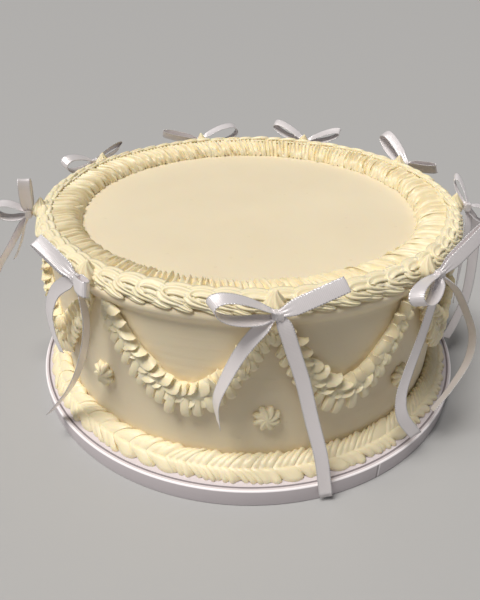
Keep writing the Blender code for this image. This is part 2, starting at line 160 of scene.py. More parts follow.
# Colours
WALL_SHADES = ((0.82, 0.70, 0.49), (0.87, 0.76, 0.55))
NICK_SHADE = (0.74, 0.62, 0.43)
PIPED_SHADES = ((0.91, 0.79, 0.52), (0.95, 0.84, 0.60))
SATIN_SHADES = ((0.84, 0.775, 0.78), (1.0, 0.955, 0.965))
# Selvage beads: painted shade between them, a painted highlight on their raised halves
BEAD_PAINTED_LIGHT = ((0.58, 0.54, 0.56), (0.95, 0.93, 0.93))
PAPER_SHADES = ((0.68, 0.615, 0.645), (0.74, 0.675, 0.70))
# Painted highlight along the drum's rounded rim
RIM_PAINTED_HIGHLIGHT = (0.98, 0.93, 0.95)
# Painted shade in the crease of the drum paper
CREASE_PAINTED_SHADE = (0.30, 0.26, 0.27)
# The drum side's own greyer tone, darkened further as painted shade
SIDE_TONE_AND_PAINTED_SHADE = (0.62, 0.565, 0.585)
SEAM_SHADES = ((0.92, 0.87, 0.89), (0.34, 0.30, 0.31))

# Studio, in metres
CAMERA_PLACE = (-0.0059, -0.33865, 0.25425)
CAMERA_TILT = 57.62
CAMERA_LENS = 31.56
FLOOR_SIZE = 60.0
FLOOR_SHADE = (0.44, 0.435, 0.43, 1.0)
KEY_PLACE = (-0.37, -0.27, 1.15)
KEY_TARGET = (0.0, 0.0, 0.06)
KEY_SPREAD = 0.45
KEY_POWER = 3.1
KEY_SHADE = (1.0, 0.98, 0.95)
ROOM_SHADE = (0.95, 0.96, 1.0, 1.0)
ROOM_POWER = 0.13


def hanging(length, lean, lift):
    """A tail that leaves the knot sideways and falls, leaning by `lean`, to `length` below it."""
    points = [
        (lean * (0.25 + 0.75 * t), 2.0 + lift * t * t, -length * t)
        for t in (0.12, 0.35, 0.65, 1.0)
    ]
    return points, (1, 0, 0.2 * math.copysign(1, lean)), (1, 0.3, 0)


# Azimuth, radius and height of each knot, its two loops and its two tails. A vector is
# (right, out, up) as seen from outside. A loop is its reach, half its opening and its width's
# direction. A tail is the points it passes and its width's direction at the knot and at the end.
BOWS = [
    dict(
        azimuth=4.4, radius=143.2, height=122.0,
        loops=[
            ((-30, 5, 9), (0, 0, 5.5), (3, 5.6, -1.7)),
            ((29.5, 2, 16), (-0.36, 1.13, 0.52), (2.9, 3.4, -5.4)),
        ],
        tails=[
            ([(-7, 2, -5), (-16, 1.5, -18), (-24, 1, -35), (-29, 1, -50), (-28, 1, -66)],
             (1, 0.3, 0.4), (0.2, 1, 0)),
            ([(3.5, 2, -6), (8.5, 1.5, -22), (14, 1.5, -40), (19.5, 3, -63), (26, 6.5, -89),
              (30.5, 9, -118)],
             (1, 0.2, 0.2), (1, 0, 0.1)),
        ],
    ),
    dict(
        azimuth=41.5, radius=143.2, height=123.0,
        loops=[
            ((-28, 7, -3), (-6, -1, 5), (5, 4.6, 0.5)),
            ((27, 6, 20), (-0.5, 1.14, 0.35), (3, 3, -5.5)),
        ],
        tails=[
            ([(-6, 3, -9), (-10, 3, -32), (-16, 3, -53), (-20, 4, -68), (-19, 7, -82),
              (-8, 12, -100)],
             (1, 0, 0), (1, 0.5, 0)),
            ([(12, 4, -11), (21, 8, -25), (30, 13, -45), (31, 14, -64), (22, 12, -82),
              (10, 10, -93)],
             (-0.4, 0.75, 0.4), (-0.56, 0.63, 0.54)),
        ],
    ),
    dict(
        azimuth=83.6, radius=143.2, height=122.0,
        loops=[
            ((14, -7.3, 15), (0, 1.5, 1), (1, 0.2, 0.3)),
            ((2, 18, -8), (0, 2, 4), (1, 0.2, 0)),
        ],
        tails=[
            ([(-3, 3, -14), (-6, 3, -38), (-8, 4, -68)], (0.5, 1, 0), (1, 0.3, 0)),
            ([(1, 8, -14), (2, 13, -40), (2, 15, -70), (0, 11, -92), (-2, 7, -104)],
             (0.3, 1, 0.3), (0.3, 1, 0.3)),
        ],
    ),
    dict(
        azimuth=119.0, radius=144.2, height=122.0,
        loops=[
            ((33, 2, 15), (0, 0, 5), (0, 6, 3)),
            ((-27, 3, 4), (0, 1, 1), (0, 3, -6)),
        ],
        tails=[hanging(82, -16, 4), hanging(96, 12, 6)],
    ),
    dict(
        azimuth=158.5, radius=144.2, height=122.0,
        loops=[
            ((31, 4, 12), (0, 0, 3.5), (0, 6, 3)),
            ((-29, 4, 10), (0, 0, 3), (0, 6, 3)),
        ],
        tails=[hanging(70, -22, 3), hanging(99, 9, 7)],
    ),
    dict(
        azimuth=197.0, radius=144.2, height=122.0,
        loops=[
            ((32, 4, 8), (-0.5, 1.5, 1.2), (0, 4, -5)),
            ((-37, 7, 5), (0, 0, 6), (0, 6, 2)),
        ],
        tails=[hanging(94, -10, 6), hanging(76, 20, 3)],
    ),
    dict(
        azimuth=238.0, radius=144.2, height=122.0,
        loops=[
            ((27, 4, 4), (0, 0, 5), (0, 6, 3)),
            ((-36, 5, 4), (0, 0, 2), (0, 4, -5)),
        ],
        tails=[hanging(88, -18, 5), hanging(72, 15, 3)],
    ),
    dict(
        azimuth=280.0, radius=143.2, height=121.0,
        loops=[
            ((1, -2, 23), (2.6, 0.1, 0.3), (0.2, 0.97, 0.1)),
            ((-1, 19, 4), (0, -0.9, 4.5), (1, -0.1, -0.25)),
        ],
        tails=[
            ([(-2, 6, -8), (-4, 18, -25), (-6, 31, -43), (-7, 38, -61)],
             (0.8, 0.4, 0.3), (0.7, 0.5, 0.3)),
            ([(1, 4, -8), (0, 9, -20), (-2, 15, -31)], (1, 0, 0), (1, 0.2, 0)),
        ],
    ),
    dict(
        azimuth=322.0, radius=142.4, height=123.5,
        loops=[
            ((-24, 3, 15), (1, 0.5, 1.5), (-0.32, 0.73, -0.59)),
            ((18, 7, 3), (0, 2.5, 1.5), (0.33, 0.42, -0.84)),
        ],
        tails=[
            ([(-6, 2, -4), (-18.5, 2, -14), (-26, 3, -27), (-28, 3, -38), (-27, 3, -48),
              (-23.5, 3, -56)],
             (0.5, 0, -1), (1, 0.2, 0.2)),
            ([(6.5, 3, -8), (7, 3, -21), (3, 4, -38), (-7, 5, -60), (-19, 7, -80), (-36, 12, -103)],
             (0.52, 0.67, 0.54), (0.3, 1, 0.3)),
        ],
    ),
]


def clear_selection():
    if bpy.context.object and bpy.context.object.mode != "OBJECT":
        bpy.ops.object.mode_set(mode="OBJECT")
    bpy.ops.object.select_all(action="DESELECT")


def select_only(piece):
    clear_selection()
    piece.select_set(True)
    bpy.context.view_layer.objects.active = piece


def edit_all(piece):
    select_only(piece)
    bpy.ops.object.mode_set(mode="EDIT")
    bpy.ops.mesh.select_all(action="SELECT")


def smoothstep(share):
    share = np.clip(share, 0.0, 1.0)
    return share * share * (3.0 - 2.0 * share)


def unit(vector):
    vector = np.asarray(vector, float)
    return vector / np.linalg.norm(vector)


def on_ring(azimuth, radius, height):
    """Points in millimetres from azimuths in degrees, radii and heights."""
    angle = np.radians(azimuth)
    right, back = radius * np.sin(angle), -radius * np.cos(angle)
    return np.stack(np.broadcast_arrays(right, back, height), -1)


# Camera, floor and light


def set_camera():
    bpy.ops.object.camera_add(location=CAMERA_PLACE, rotation=(math.radians(CAMERA_TILT), 0.0, 0.0))
    camera = bpy.context.object
    camera.data.lens = CAMERA_LENS
    camera.data.sensor_width = 36.0
    camera.data.clip_start = 0.01
    camera.data.clip_end = 100.0
    bpy.context.scene.camera = camera


def studio():
    """A pale floor, and a far softbox whose light falls evenly with soft shadows."""
    bpy.ops.mesh.primitive_plane_add(size=FLOOR_SIZE, location=(0.0, 0.0, 0.0))
    floor = bpy.context.object
    floor.name = "studio_floor"
    paint = bpy.data.materials.new("pale_floor")
    paint.use_nodes = True
    shader = paint.node_tree.nodes["Principled BSDF"]
    shader.inputs["Base Color"].default_value = FLOOR_SHADE
    shader.inputs["Roughness"].default_value = 0.7
    floor.data.materials.append(paint)
    place = Vector(KEY_PLACE)
    turn = (Vector(KEY_TARGET) - place).to_track_quat("-Z", "Y").to_euler()
    bpy.ops.object.light_add(type="SUN", location=place, rotation=turn)
    lamp = bpy.context.object
    lamp.name = "key_softbox"
    lamp.data.angle = KEY_SPREAD
    lamp.data.energy = KEY_POWER
    lamp.data.color = KEY_SHADE
    world = bpy.data.worlds.new("studio")
    bpy.context.scene.world = world
    world.use_nodes = True
    room = world.node_tree.nodes["Background"]
    room.inputs["Color"].default_value = ROOM_SHADE
    room.inputs["Strength"].default_value = ROOM_POWER
    bpy.context.scene.view_settings.view_transform = "Standard"


# Finishes


def new_group(name, inputs, outputs):
    group = bpy.data.node_groups.new(name, "ShaderNodeTree")
    for label, kind, value in inputs:
        socket = group.interface.new_socket(label, in_out="INPUT", socket_type=kind)
        if value is not None:
            socket.default_value = value
    for label, kind in outputs:
        group.interface.new_socket(label, in_out="OUTPUT", socket_type=kind)
    return group, group.nodes.new("NodeGroupInput"), group.nodes.new("NodeGroupOutput")


def add(tree, kind, **values):
    """A node with its properties, and its inputs by name or number, set or linked."""
    node = tree.nodes.new(kind)
    links = values.pop("inputs", {})
    for name, value in values.items():
        setattr(node, name, value)
    for name, value in links.items():
        if isinstance(value, bpy.types.NodeSocket):
            tree.links.new(value, node.inputs[name])
        else:
            node.inputs[name].default_value = value
    return node


def math_node(tree, operation, *values):
    node = tree.nodes.new("ShaderNodeMath")
    node.operation = operation
    for slot, value in enumerate(values):
        if isinstance(value, bpy.types.NodeSocket):
            tree.links.new(value, node.inputs[slot])
        else:
            node.inputs[slot].default_value = value
    return node.outputs[0]


def icing_grain():
    """Fine bubbles, faint mottling and tiny pits of whipped icing."""
    group, given, out = new_group(
        "icing_grain",
        [("Vector", "NodeSocketVector", None), ("Grain Size", "NodeSocketFloat", 900.0),
         ("Mottle Size", "NodeSocketFloat", 45.0)],
        [("Mottle", "NodeSocketFloat"), ("Height", "NodeSocketFloat")])
    mottle = add(group, "ShaderNodeTexNoise", inputs={
        "Vector": given.outputs["Vector"], "Scale": given.outputs["Mottle Size"], "Detail": 3.0})
    grain = add(group, "ShaderNodeTexNoise", inputs={
        "Vector": given.outputs["Vector"], "Scale": given.outputs["Grain Size"], "Detail": 2.0})
    group.links.new(mottle.outputs["Fac"], out.inputs["Mottle"])
    group.links.new(grain.outputs["Fac"], out.inputs["Height"])
    return group


def spatula_marks():
    """Level streaks, nicks and pinholes that a spatula leaves on a smoothed side."""
    group, given, out = new_group(
        "spatula_marks",
        [("Vector", "NodeSocketVector", None)],
        [(label, "NodeSocketFloat") for label in ("Streaks", "Nicks", "Height")])
    long_place = add(group, "ShaderNodeMapping", inputs={
        "Vector": given.outputs["Vector"], "Scale": (14.0, 14.0, 260.0)})
    streaks = add(group, "ShaderNodeTexNoise", inputs={
        "Vector": long_place.outputs[0], "Scale": 1.0, "Detail": 4.0, "Roughness": 0.6})
    short_place = add(group, "ShaderNodeMapping", inputs={
        "Vector": given.outputs["Vector"], "Scale": (75.0, 75.0, 420.0)})
    dashes = add(group, "ShaderNodeTexVoronoi", inputs={
        "Vector": short_place.outputs[0], "Scale": 1.0, "Randomness": 1.0})
    nick = math_node(group, "LESS_THAN", dashes.outputs["Distance"], 0.075)
    pits = add(group, "ShaderNodeTexVoronoi", inputs={
        "Vector": given.outputs["Vector"], "Scale": 170.0})
    pit = math_node(group, "LESS_THAN", pits.outputs["Distance"], 0.055)
    marks = math_node(group, "MAXIMUM", nick, pit)
    height = math_node(group, "SUBTRACT", streaks.outputs["Fac"],
                       math_node(group, "MULTIPLY", marks, 0.5))
    group.links.new(streaks.outputs["Fac"], out.inputs["Streaks"])
    group.links.new(marks, out.inputs["Nicks"])
    group.links.new(height, out.inputs["Height"])
    return group


def new_finish(name, roughness, soft=0.0):
    material = bpy.data.materials.new(name)
    material.use_nodes = True
    shader = material.node_tree.nodes["Principled BSDF"]
    shader.inputs["Roughness"].default_value = roughness
    shader.inputs["Subsurface Weight"].default_value = soft
    shader.inputs["Subsurface Radius"].default_value = (1.0, 0.7, 0.3)
    shader.inputs["Subsurface Scale"].default_value = 1.2 * MM
    return material, material.node_tree, shader


def mix_colours(tree, share, first, second):
    node = tree.nodes.new("ShaderNodeMix")
    node.data_type = "RGBA"
    for slot, value in ((0, share), (6, first), (7, second)):
        if isinstance(value, bpy.types.NodeSocket):
            tree.links.new(value, node.inputs[slot])
        elif slot:
            node.inputs[slot].default_value = (*value, 1.0)
        else:
            node.inputs[slot].default_value = value
    return node.outputs[2]


def vary_roughness(tree, shader, value, given, wanted):
    rough = add(tree, "ShaderNodeMapRange", inputs={
        "Value": value, "From Min": given[0], "From Max": given[1], "To Min": wanted[0],
        "To Max": wanted[1]})
    tree.links.new(rough.outputs[0], shader.inputs["Roughness"])


def bump(tree, shader, height, distance, strength):
    node = add(tree, "ShaderNodeBump", inputs={"Height": height, "Strength": strength,
                                               "Distance": distance})
    tree.links.new(node.outputs["Normal"], shader.inputs["Normal"])


def smooth_icing_finish():
    material, tree, shader = new_finish("smooth_icing", 0.5, 0.25)
    place = add(tree, "ShaderNodeTexCoord").outputs["Object"]
    grain = add(tree, "ShaderNodeGroup", node_tree=GRAIN, inputs={"Vector": place})
    grain.inputs["Mottle Size"].default_value = 22.0
    marks = add(tree, "ShaderNodeGroup", node_tree=SPATULA, inputs={"Vector": place})
    base = mix_colours(tree, grain.outputs["Mottle"], *WALL_SHADES)
    nicks = math_node(tree, "MULTIPLY", marks.outputs["Nicks"], 0.35)
    colour = mix_colours(tree, nicks, base, NICK_SHADE)
    tree.links.new(colour, shader.inputs["Base Color"])
    vary_roughness(tree, shader, marks.outputs["Streaks"], (0.3, 0.7), (0.42, 0.6))
    height = math_node(tree, "ADD", marks.outputs["Height"],
                       math_node(tree, "MULTIPLY", grain.outputs["Height"], 0.15))
    bump(tree, shader, height, 0.00035, 0.6)
    return material


def piped_icing_finish():
    material, tree, shader = new_finish("piped_icing", 0.4, 0.25)
    place = add(tree, "ShaderNodeTexCoord").outputs["Object"]
    grain = add(tree, "ShaderNodeGroup", node_tree=GRAIN, inputs={"Vector": place})
    grain.inputs["Grain Size"].default_value = 1300.0
    grain.inputs["Mottle Size"].default_value = 60.0
    colour = mix_colours(tree, grain.outputs["Mottle"], *PIPED_SHADES)
    tree.links.new(colour, shader.inputs["Base Color"])
    vary_roughness(tree, shader, grain.outputs["Mottle"], (0.3, 0.7), (0.36, 0.5))
    bump(tree, shader, grain.outputs["Height"], 0.0002, 0.5)
    return material


def satin_finish():
    """Narrow satin ribbon: fine ribs across it and a beaded selvage, each bead's raised half
    painted bright as a highlight and the gap between beads painted dark as shade. V is along it in
    metres.
    """
    material, tree, shader = new_finish("satin_ribbon", 0.3)
    shader.inputs["Metallic"].default_value = 0.3
    shader.inputs["Anisotropic"].default_value = 0.5
    shader.inputs["Sheen Weight"].default_value = 0.25
    shader.inputs["Specular IOR Level"].default_value = 0.6
    place = add(tree, "ShaderNodeTexCoord").outputs["UV"]
    parts = add(tree, "ShaderNodeSeparateXYZ", inputs={"Vector": place})
    across, along = parts.outputs["X"], parts.outputs["Y"]
    to_edge = math_node(tree, "SUBTRACT", 0.5, math_node(tree, "ABSOLUTE", math_node(
        tree, "SUBTRACT", across, 0.5)))
    selvage = math_node(tree, "LESS_THAN", to_edge, SELVAGE_SHARE)
    rib, bead = (
        math_node(tree, "SINE", math_node(tree, "MULTIPLY", along, math.tau / (pitch * MM)))
        for pitch in (RIB_PITCH, BEAD_PITCH))
    flecks = add(tree, "ShaderNodeTexNoise", inputs={
        "Vector": place, "Scale": 1000.0, "Detail": 2.0})
    weave = math_node(tree, "ADD", math_node(tree, "MULTIPLY", rib, 0.22), flecks.outputs["Fac"])
    cloth = mix_colours(tree, weave, *SATIN_SHADES)
    # Painted highlight on each bead's raised half, painted shade between the beads
    bead_light = mix_colours(tree, math_node(tree, "GREATER_THAN", bead, 0.0), *BEAD_PAINTED_LIGHT)
    colour = mix_colours(tree, selvage, cloth, bead_light)
    tree.links.new(colour, shader.inputs["Base Color"])
    height = math_node(tree, "ADD", math_node(tree, "MULTIPLY", rib, 0.3),
                       math_node(tree, "MULTIPLY", selvage, bead))
    height = math_node(tree, "ADD", height, math_node(tree, "MULTIPLY", flecks.outputs["Fac"], 0.3))
    bump(tree, shader, height, 0.00012, 0.8)
    return material


def drum_finish():
    """Drum paper: a painted highlight on the rim, painted shade in the crease inside it, a side
    greyer by its own tone and by painted shade, and a seam in the side.
    """
    material, tree, shader = new_finish("drum_paper", 0.36)
    place = add(tree, "ShaderNodeTexCoord").outputs["Object"]
    fibre = add(tree, "ShaderNodeTexNoise", inputs={"Vector": place, "Scale": 260.0, "Detail": 4.0})
    colour = mix_colours(tree, fibre.outputs["Fac"], *PAPER_SHADES)
    parts = add(tree, "ShaderNodeSeparateXYZ", inputs={"Vector": place})
    flat = add(tree, "ShaderNodeCombineXYZ", inputs={
        "X": parts.outputs["X"], "Y": parts.outputs["Y"]})
    from_middle = add(tree, "ShaderNodeVectorMath", operation="LENGTH",
                      inputs={"Vector": flat.outputs[0]}).outputs["Value"]
    # Painted highlight: the rim is painted bright where light catches its rounded edge
    rim_highlight = math_node(tree, "GREATER_THAN", from_middle, DRUM_RIM_HIGHLIGHT_START * MM)
    colour = mix_colours(tree, rim_highlight, colour, RIM_PAINTED_HIGHLIGHT)
    # Painted shade: the crease is painted dark where shade falls in it
    crease = math_node(tree, "COMPARE", from_middle, DRUM_CREASE * MM, DRUM_LINE * MM)
    colour = mix_colours(tree, crease, colour, CREASE_PAINTED_SHADE)
    # The side is painted greyer: its paper's own tone, darkened further as painted shade because
    # the light falls from above
    side = math_node(tree, "LESS_THAN", parts.outputs["Z"], DRUM_SIDE_TOP * MM)
    colour = mix_colours(tree, side, colour, SIDE_TONE_AND_PAINTED_SHADE)
    turn = math.radians(DRUM_SEAM)
    along = math_node(tree, "ADD", math_node(tree, "MULTIPLY", parts.outputs["X"], math.cos(turn)),
                      math_node(tree, "MULTIPLY", parts.outputs["Y"], math.sin(turn)))
    front = math_node(tree, "MULTIPLY", side, math_node(
        tree, "LESS_THAN", parts.outputs["Y"], 0.0))
    for offset, shade in zip((DRUM_LINE * MM, -DRUM_LINE * MM), SEAM_SHADES):
        line = math_node(tree, "MULTIPLY", front, math_node(
            tree, "COMPARE", along, offset, DRUM_LINE * MM))
        colour = mix_colours(tree, line, colour, shade)
    tree.links.new(colour, shader.inputs["Base Color"])
    vary_roughness(tree, shader, fibre.outputs["Fac"], (0.0, 1.0), (0.32, 0.45))
    bump(tree, shader, fibre.outputs["Fac"], 0.00008, 0.4)
    return material


# Making pieces


def finish(piece, name, material, slot, *nodes):
    piece.name = name
    piece.data.name = name
    piece.data.materials.clear()
    piece.data.materials.append(material)
    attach(piece, "root")
    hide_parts(*nodes)


def mesh_of(name, parts):
    """One mesh object from several (points in millimetres, faces)."""
    points, faces, start = [], [], 0
    for own_points, own_faces in parts:
        points.append(own_points)
        faces.extend([tuple(start + corner for corner in face) for face in own_faces])
        start += len(own_points)
    mesh = bpy.data.meshes.new(name)
    mesh.from_pydata((np.concatenate(points) * MM).tolist(), [], faces)
    mesh.shade_smooth()
    piece = bpy.data.objects.new(name, mesh)
    bpy.context.scene.collection.objects.link(piece)
    return piece


def crisp(piece, angle):
    """Smooth shading that keeps the folds sharper than this angle."""
    edit_all(piece)
    bpy.ops.mesh.normals_make_consistent(inside=False)
    bpy.ops.object.mode_set(mode="OBJECT")
    bpy.ops.object.shade_smooth_by_angle(angle=math.radians(angle))


def scalloped(ridges, depth, points_per_ridge, turn=0.0):
    """Outline with round ridges and sharp valleys, as a star nozzle leaves them."""
    count = ridges * points_per_ridge
    angle = math.tau * np.arange(count) / count
    radius = 1.0 - depth * (1.0 - np.abs(np.cos(ridges * angle / 2.0)))
    return np.stack([radius * np.cos(angle + turn), radius * np.sin(angle + turn)], -1)


def smooth_curve(points, places):
    """Catmull-Rom curve through the points, at places counted in points."""
    points = np.vstack([2 * points[0] - points[1], points, 2 * points[-1] - points[-2]])
    first = np.minimum(np.floor(places).astype(int), len(points) - 4)
    share = (places - first)[:, None]
    before, here, after, beyond = (points[first + step] for step in range(4))
    return 0.5 * (2 * here + (after - before) * share
                  + (2 * before - 5 * here + 4 * after - beyond) * share ** 2
                  + (3 * here - before - 3 * after + beyond) * share ** 3)


def tube_faces(rings, sides):
    faces = []
    for ring in range(rings - 1):
        after = ring + 1
        for side in range(sides):
            beside = (side + 1) % sides
            faces.append((ring * sides + side, ring * sides + beside, after * sides + beside,
                          after * sides + side))
    faces.append(tuple(reversed(range(sides))))
    faces.append(tuple((rings - 1) * sides + side for side in range(sides)))
    return faces


def strand(route, widths, heights, outlines, up):
    """Icing pressed through a nozzle along a route: the outline's X lies across it, Y along up."""
    route = np.asarray(route, float)
    tangents = np.gradient(route, axis=0)
    tangents /= np.linalg.norm(tangents, axis=1)[:, None]
    up = np.broadcast_to(np.asarray(up, float), route.shape)
    side = np.cross(tangents, up)
    side /= np.linalg.norm(side, axis=1)[:, None]
    top = np.cross(side, tangents)
    outlines = np.broadcast_to(outlines, (len(route),) + np.shape(outlines)[-2:])
    widths = np.broadcast_to(widths, len(route))[:, None, None]
    heights = np.broadcast_to(heights, len(route))[:, None, None]
    points = (route[:, None, :] + outlines[:, :, :1] * widths * side[:, None, :]
              + outlines[:, :, 1:] * heights * top[:, None, :])
    return points.reshape(-1, 3), tube_faces(*points.shape[:2])


def ring_axes(azimuth):
    """Directions to the right, outwards and up, as seen from outside the cake."""
    angle = math.radians(azimuth)
    return (np.array((math.cos(angle), math.sin(angle), 0.0)),
            np.array((math.sin(angle), -math.cos(angle), 0.0)), np.array((0.0, 0.0, 1.0)))


def near_bow(azimuth):
    """1 where a knot presses into the border, 0 away from it."""
    turns = [(azimuth - bow["azimuth"] + 180.0) % 360.0 - 180.0 for bow in BOWS]
    nearest = np.min(np.abs(turns), axis=0)
    return 1.0 - smoothstep((nearest - 2.6) / 3.0)


# Drum and iced cake


def select_faces(piece, test):
    bpy.ops.mesh.select_all(action="DESELECT")
    shape = bmesh.from_edit_mesh(piece.data)
    for face in shape.faces:
        face.select_set(test(face))
    bmesh.update_edit_mesh(piece.data)


def cake_drum():
    """The drum, with its rim rounded and its paper creased just inside the rim."""
    clear_selection()
    bpy.ops.mesh.primitive_cylinder_add(
        vertices=240, radius=DRUM_RADIUS * MM, depth=DRUM_THICKNESS * MM,
        location=(0.0, 0.0, DRUM_THICKNESS * MM / 2.0))
    drum = bpy.context.object
    bpy.ops.object.transform_apply(location=True, rotation=False, scale=False)
    bpy.ops.object.mode_set(mode="EDIT")
    select_faces(drum, lambda face: abs(face.normal.z) > 0.9)
    bpy.ops.mesh.region_to_loop()
    bpy.ops.mesh.bevel(offset=DRUM_ROUNDING * MM, segments=4, profile=0.5)
    select_faces(drum, lambda face: face.normal.z > 0.99)
    for thickness, depth in ((1.7, 0.0), (0.25, -0.6), (0.5, 0.0), (0.25, 0.5)):
        bpy.ops.mesh.inset(thickness=thickness * MM, depth=depth * MM)
    bpy.ops.object.mode_set(mode="OBJECT")
    bpy.ops.object.shade_smooth_by_angle(angle=math.radians(32))
    finish(drum, "drum", DRUM_PAPER, "drum_paper", "cake_drum")


def iced_cake():
    """Turned in one piece, with the soft lip of icing that the smoother pushed up round the top."""
    foot, top, wall = DRUM_THICKNESS + 0.1, CAKE_TOP, CAKE_RADIUS
    profile = [(0.0, foot), (wall, foot)]
    profile += [(wall, foot + (top - 9.0 - foot) * k / 44.0) for k in range(1, 45)]
    profile += [(wall + out, top + up) for out, up in LIP]
    profile += [(profile[-1][0] * k / 24.0, top) for k in range(23, -1, -1)]
    mesh = bpy.data.meshes.new("cake")
    mesh.from_pydata([(radius * MM, 0.0, height * MM) for radius, height in profile],
                     [(k, k + 1) for k in range(len(profile) - 1)], [])
    cake = bpy.data.objects.new("cake", mesh)
    bpy.context.scene.collection.objects.link(cake)
    edit_all(cake)
    bpy.ops.mesh.spin(steps=288, angle=math.tau, center=(0, 0, 0), axis=(0, 0, 1))
    bpy.ops.mesh.select_all(action="SELECT")
    bpy.ops.mesh.remove_doubles(threshold=0.00002)
    bpy.ops.mesh.normals_make_consistent(inside=False)
    bpy.ops.object.mode_set(mode="OBJECT")
    for vertex in mesh.vertices:
        place = vertex.co
        radius = math.hypot(place.x, place.y)
        level = place.z / MM
        if level < foot + 1.0 or radius < 1e-6:
            continue
        slow = noise.noise(Vector((place.x * 14, place.y * 14, place.z * 26)))
        lip = smoothstep((level - (top - 6.0)) / 2.0) * smoothstep((radius / MM - 131.5) / 1.0)
        turn = math.atan2(place.y, place.x)
        uneven = noise.noise(Vector((math.cos(turn) * 9, math.sin(turn) * 9, 3.1)))
        if radius / MM > wall - 2.0:
            swell = WALL_SWELL * slow + lip * LIP_SWELL * uneven
            place.x += place.x / radius * swell * MM
            place.y += place.y / radius * swell * MM
            place.z += lip * 0.5 * uneven * MM
        else:
            place.z += TOP_SWELL * slow * MM
    bpy.ops.object.shade_smooth_by_angle(angle=math.radians(50))
    finish(cake, "iced_cake_body", SMOOTH_ICING, "smooth_icing", "iced_cake")


# Piped rings


def rope_border():
    """Commas of star-tip icing round the top edge: a curl, a sweep over it and a long tail that the
    next comma's curl lies on."""
    rng = np.random.default_rng(5)
    fine = np.linspace(0, len(COMMA_ROUTE) - 1, COMMA_STATIONS)
    base = smooth_curve(np.array(COMMA_ROUTE), fine)
    widths, heights, leans = (np.interp(fine, np.arange(len(COMMA_ROUTE)), values)
                              for values in (COMMA_WIDTHS, COMMA_HEIGHTS, COMMA_LEANS))
    parts = []
    for comma in range(ROPE_COMMAS):
        stretch = rng.uniform((0.92, -0.4, -0.3), (1.15, 0.4, 0.3))
        azimuth = 360.0 * (comma + rng.uniform(-0.07, 0.07)) / ROPE_COMMAS
        azimuths = azimuth + np.degrees(base[:, 0] * stretch[0] / ROPE_RADIUS)
        radius = base[:, 1] + stretch[1]
        radius = radius - near_bow(azimuths) * np.maximum(radius - PRESSED_RADIUS, 0.0)
        route = on_ring(azimuths, radius, base[:, 2] + stretch[2])
        up = leans[:, None] * on_ring(azimuths, 1.0, 0.0) + np.array((0.0, 0.0, 1.0))
        full = rng.uniform(0.95, 1.06)
        turn = rng.uniform(0.0, 0.5)
        parts.append(strand(route, widths * full, heights * full, scalloped(8, 0.45, 4, turn), up))
    finish(mesh_of("rope", parts), "rope_border", PIPED_ICING, "piped_icing", "top_outer_border")


def ring_skin(points):
    """A closed skin from columns of points that run round the cake."""
    columns, rows = points.shape[:2]
    faces = []
    for column in range(columns):
        after = (column + 1) % columns
        for row in range(rows):
            below = (row + 1) % rows
            faces.append((column * rows + row, column * rows + below, after * rows + below,
                          after * rows + row))
    return points.reshape(-1, 3), faces


def outward(edge):
    """Normals of a section given as (radius, height) from the wall side over the top."""
    run = np.gradient(edge, axis=0)
    run /= np.linalg.norm(run, axis=1)[:, None]
    return np.stack([run[:, 1], -run[:, 0]], -1)


def inner_shells():
    """Star-tip shells inside the rope: fine slanting ridges ending in torn, spiky tips."""
    rng = np.random.default_rng(37)
    edge = np.array(SHELL_SECTION)
    normals = -outward(edge)
    shell_steps = SHELL_RIDGES * RIDGE_STEPS
    columns = INNER_SHELLS * shell_steps
    step = np.arange(columns)
    shell = step // shell_steps
    ridge = step // RIDGE_STEPS
    phase = (step % shell_steps) / shell_steps

    def by_shell(low, high):
        return rng.uniform(low, high, INNER_SHELLS)[shell]

    def by_ridge(low, high):
        return rng.uniform(low, high, INNER_SHELLS * SHELL_RIDGES)[ridge]

    crest = 1.0 - np.abs(np.cos(math.pi * (step % RIDGE_STEPS) / RIDGE_STEPS)) ** 1.4
    full = by_shell(0.6, 1.2)
    tooth = by_ridge(0.0, 1.0) ** 1.3
    flick = 1.4 * (1 - ridge % SHELL_RIDGES) + by_ridge(-0.9, 0.9)
    slants = by_shell(0.7, 1.2)
    sharp = by_ridge(0.5, 1.4)
    waves = by_ridge(0.0, 1.0)
    sway = by_ridge(-1.7, 1.7)
    belly = np.sin(math.pi * phase) ** 0.7 + 0.3 * (phase - 0.5)
    points = np.empty((columns, len(edge), 3))
    for row, (radius, height) in enumerate(edge):
        away = row / (len(edge) - 2.0)
        cover = 0.0 if row in (0, len(edge) - 1) else 1.0
        proud = cover * ((0.5 * belly - 0.3) * full + (2.1 + 0.8 * away) * (crest - 0.55) * sharp
                         + crest * np.sin(math.tau * (2.6 * away + waves)))
        tip = smoothstep((away - 0.62) / 0.38) * cover
        reach = tip * (3.8 * tooth * crest - 1.0 + 0.5 * belly)
        lift = tip * (3.4 * tooth * crest) * (1.0 if away < 0.99 else 0.2)
        own_radius = radius + normals[row, 0] * proud - reach
        own_height = np.maximum(height + normals[row, 1] * proud + lift, CAKE_TOP - 0.3)
        turn = 360.0 * step / columns
        slide = 6.0 * away * slants + (tip * flick + sway * (2.0 * away - 1.0)) * crest
        points[:, row] = on_ring(turn - np.degrees(slide / own_radius), own_radius, own_height)
    piece = mesh_of("shells", [ring_skin(points)])
    crisp(piece, 60)
    finish(piece, "inner_shells", PIPED_ICING, "piped_icing", "top_inner_border")


